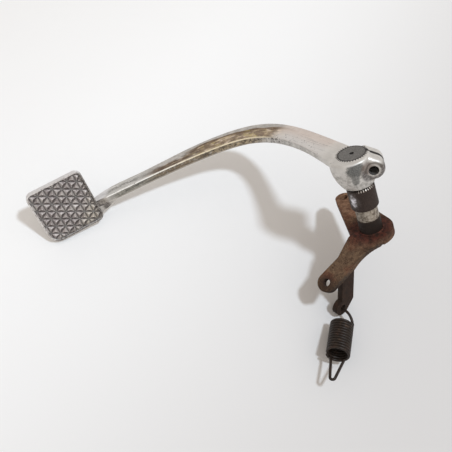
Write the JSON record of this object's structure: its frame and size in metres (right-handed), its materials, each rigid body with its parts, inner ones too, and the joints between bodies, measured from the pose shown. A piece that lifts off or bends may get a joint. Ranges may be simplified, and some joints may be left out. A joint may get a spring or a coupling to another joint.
{
  "type": "rear brake pedal",
  "caption": "Cast pedal arm with a pyramid-tread pad, clamped on a serrated pivot shaft with a bent lever plate, spring tab and return spring.",
  "frame": {"origin": "middle of the bearing journal, on the shaft's axis", "axes": "+Z along the pivot shaft toward the outboard end with the clamp; the arm leaves toward -X; the tread faces -Y, which is up on the machine"},
  "size_m": [0.2556, 0.1621, 0.1584],
  "materials": {
    "cast_alloy": "worn polished casting with brown staining",
    "shaft_steel": "dark greasy steel with bright rubbed patches",
    "rusty_steel": "old plating gone to brown rust",
    "spring_steel": "dark oily spring wire"
  },
  "bodies": {
    "pedal_assembly": {"pedal": "cast_alloy", "shaft": "shaft_steel", "lever": "rusty_steel", "hub_weld": "rusty_steel", "spring_tab": "rusty_steel", "tab_weld": "rusty_steel"},
    "spring": {"return_spring": "spring_steel"}
  },
  "joints": [
    {"name": "spring_swing", "type": "hinge", "parent": "pedal_assembly", "child": "spring", "pos_m": [-0.0348, -0.0149, -0.0814], "axis": [0.674, -0.7193, -0.1681], "range_deg": [-35, 120]}
  ]
}
